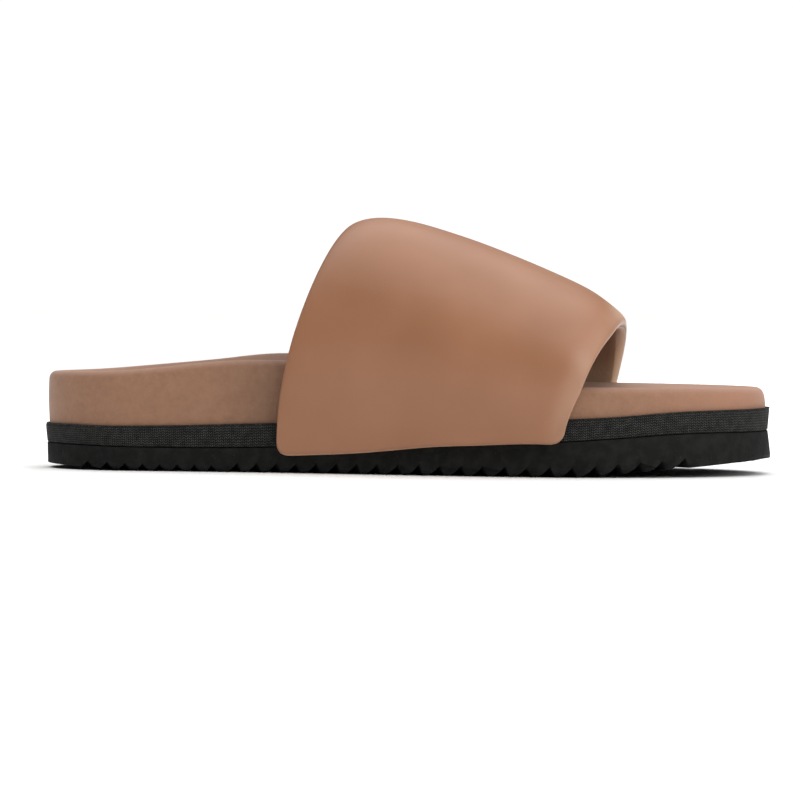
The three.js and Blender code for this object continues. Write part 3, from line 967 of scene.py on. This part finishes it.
class SANDAL_OT_stage(Operator):
    """Adds the floor, the soft studio light and the camera"""

    bl_idname = "sandal.stage"
    bl_label = "Stage"

    def execute(self, context):
        scene = context.scene
        stage = scene.sandal_stage
        scene.view_settings.view_transform = "Standard"
        bm = bmesh.new()
        bmesh.ops.create_grid(bm, x_segments=1, y_segments=1, size=12.0)
        bmesh.ops.translate(bm, verts=bm.verts[:], vec=(0, 0, -0.0001))
        # Matt paper: no gloss, so only the soft shadow shows on it
        material, tree, shader = new_material("paper_floor_matt")
        shader.inputs["Base Color"].default_value = (*stage.floor, 1)
        shader.inputs["Roughness"].default_value = 0.9
        floor = new_piece("floor", bm, [material])
        # A wide soft light overhead and dim walls, with white behind the sandal
        world = bpy.data.worlds.new("studio")
        world.use_nodes = True
        tree = world.node_tree
        tree.nodes.clear()
        toward = add_node(tree, "ShaderNodeTexCoord").outputs["Generated"]
        axis = (0.0, 0.1, 0.995)
        height = add_node(
            tree, "ShaderNodeVectorMath", {0: toward, 1: axis}, operation="DOT_PRODUCT"
        ).outputs["Value"]
        light = add_node(
            tree,
            "ShaderNodeMapRange",
            {
                "Value": height,
                "From Min": 0.45,
                "From Max": 0.9,
                "To Min": stage.walls,
                "To Max": stage.overhead,
            },
            interpolation_type="SMOOTHSTEP",
        ).outputs[0]
        seen = add_node(tree, "ShaderNodeLightPath").outputs["Is Camera Ray"]
        strength = add_node(
            tree, "ShaderNodeMix", {"Factor": seen, "A": light, "B": 1.05}, data_type="FLOAT"
        ).outputs["Result"]
        background = add_node(tree, "ShaderNodeBackground", {"Strength": strength})
        background.inputs["Color"].default_value = (1, 1, 1, 1)
        add_node(tree, "ShaderNodeOutputWorld", {"Surface": background.outputs[0]})
        scene.world = world
        for name, power, size, place, aim in (
            ("back_light", stage.back_power, 0.6, (0.15, 1.3, 0.75), (0.02, -0.1, 0.0)),
            ("front_light", stage.front_power, 0.9, (1.25, -0.9, 0.8), (0.03, 0, 0.04)),
        ):
            data = bpy.data.lights.new(name, "AREA")
            data.energy = power
            data.size = size
            lamp = bpy.data.objects.new(name, data)
            scene.collection.objects.link(lamp)
            lamp.location = place
            lamp.visible_glossy = name != "back_light"
            lamp.rotation_mode = "QUATERNION"
            lamp.rotation_quaternion = (Vector(aim) - Vector(place)).to_track_quat("-Z", "Y")
        eye = Vector(CAMERA_EYE)
        aim = Vector(CAMERA_AIM)
        data = bpy.data.cameras.new("camera")
        data.lens = CAMERA_LENS
        data.sensor_width = 36.0
        data.clip_start = 0.05
        data.clip_end = 60.0
        camera = bpy.data.objects.new("camera", data)
        scene.collection.objects.link(camera)
        camera.location = eye
        camera.rotation_mode = "QUATERNION"
        roll = Quaternion((0, 0, 1), math.radians(CAMERA_ROLL))
        camera.rotation_quaternion = (aim - eye).to_track_quat("-Z", "Y") @ roll
        scene.camera = camera
        return {"FINISHED"}


class SANDAL_PT_panel(Panel):
    """Lists the sandal's settings and its pieces"""

    bl_idname = "SANDAL_PT_panel"
    bl_label = "Slide sandal"
    bl_space_type = "VIEW_3D"
    bl_region_type = "UI"
    bl_category = "Sandal"

    def draw(self, context):
        for operator, settings in PIECES:
            box = self.layout.box()
            box.operator(operator)
            group = getattr(context.scene, settings)
            for name in group.bl_rna.properties.keys():
                if name not in {"rna_type", "name"}:
                    box.prop(group, name)


SETTINGS = [
    ("sandal_outsole", OutsoleSettings),
    ("sandal_tape", TapeSettings),
    ("sandal_footbed", FootbedSettings),
    ("sandal_strap", StrapSettings),
    ("sandal_stage", StageSettings),
]
PIECES = [
    ("sandal.outsole", "sandal_outsole"),
    ("sandal.tape", "sandal_tape"),
    ("sandal.footbed", "sandal_footbed"),
    ("sandal.strap", "sandal_strap"),
    ("sandal.stage", "sandal_stage"),
]
OPERATORS = [
    SANDAL_OT_outsole,
    SANDAL_OT_tape,
    SANDAL_OT_footbed,
    SANDAL_OT_strap,
    SANDAL_OT_stage,
]


def register():
    for name, group in SETTINGS:
        bpy.utils.register_class(group)
        setattr(bpy.types.Scene, name, PointerProperty(type=group))
    for operator in OPERATORS:
        bpy.utils.register_class(operator)
    bpy.utils.register_class(SANDAL_PT_panel)


def unregister():
    bpy.utils.unregister_class(SANDAL_PT_panel)
    for operator in reversed(OPERATORS):
        bpy.utils.unregister_class(operator)
    for name, group in reversed(SETTINGS):
        delattr(bpy.types.Scene, name)
        bpy.utils.unregister_class(group)


def main():
    register()
    for name in ("Cube", "Light", "Camera"):
        if name in bpy.context.scene.objects:
            bpy.data.objects.remove(bpy.context.scene.objects[name])
    bpy.ops.sandal.outsole()
    bpy.ops.sandal.tape()
    bpy.ops.sandal.footbed()
    bpy.ops.sandal.strap()
    bpy.ops.sandal.stage()


if __name__ == "__main__":
    main()
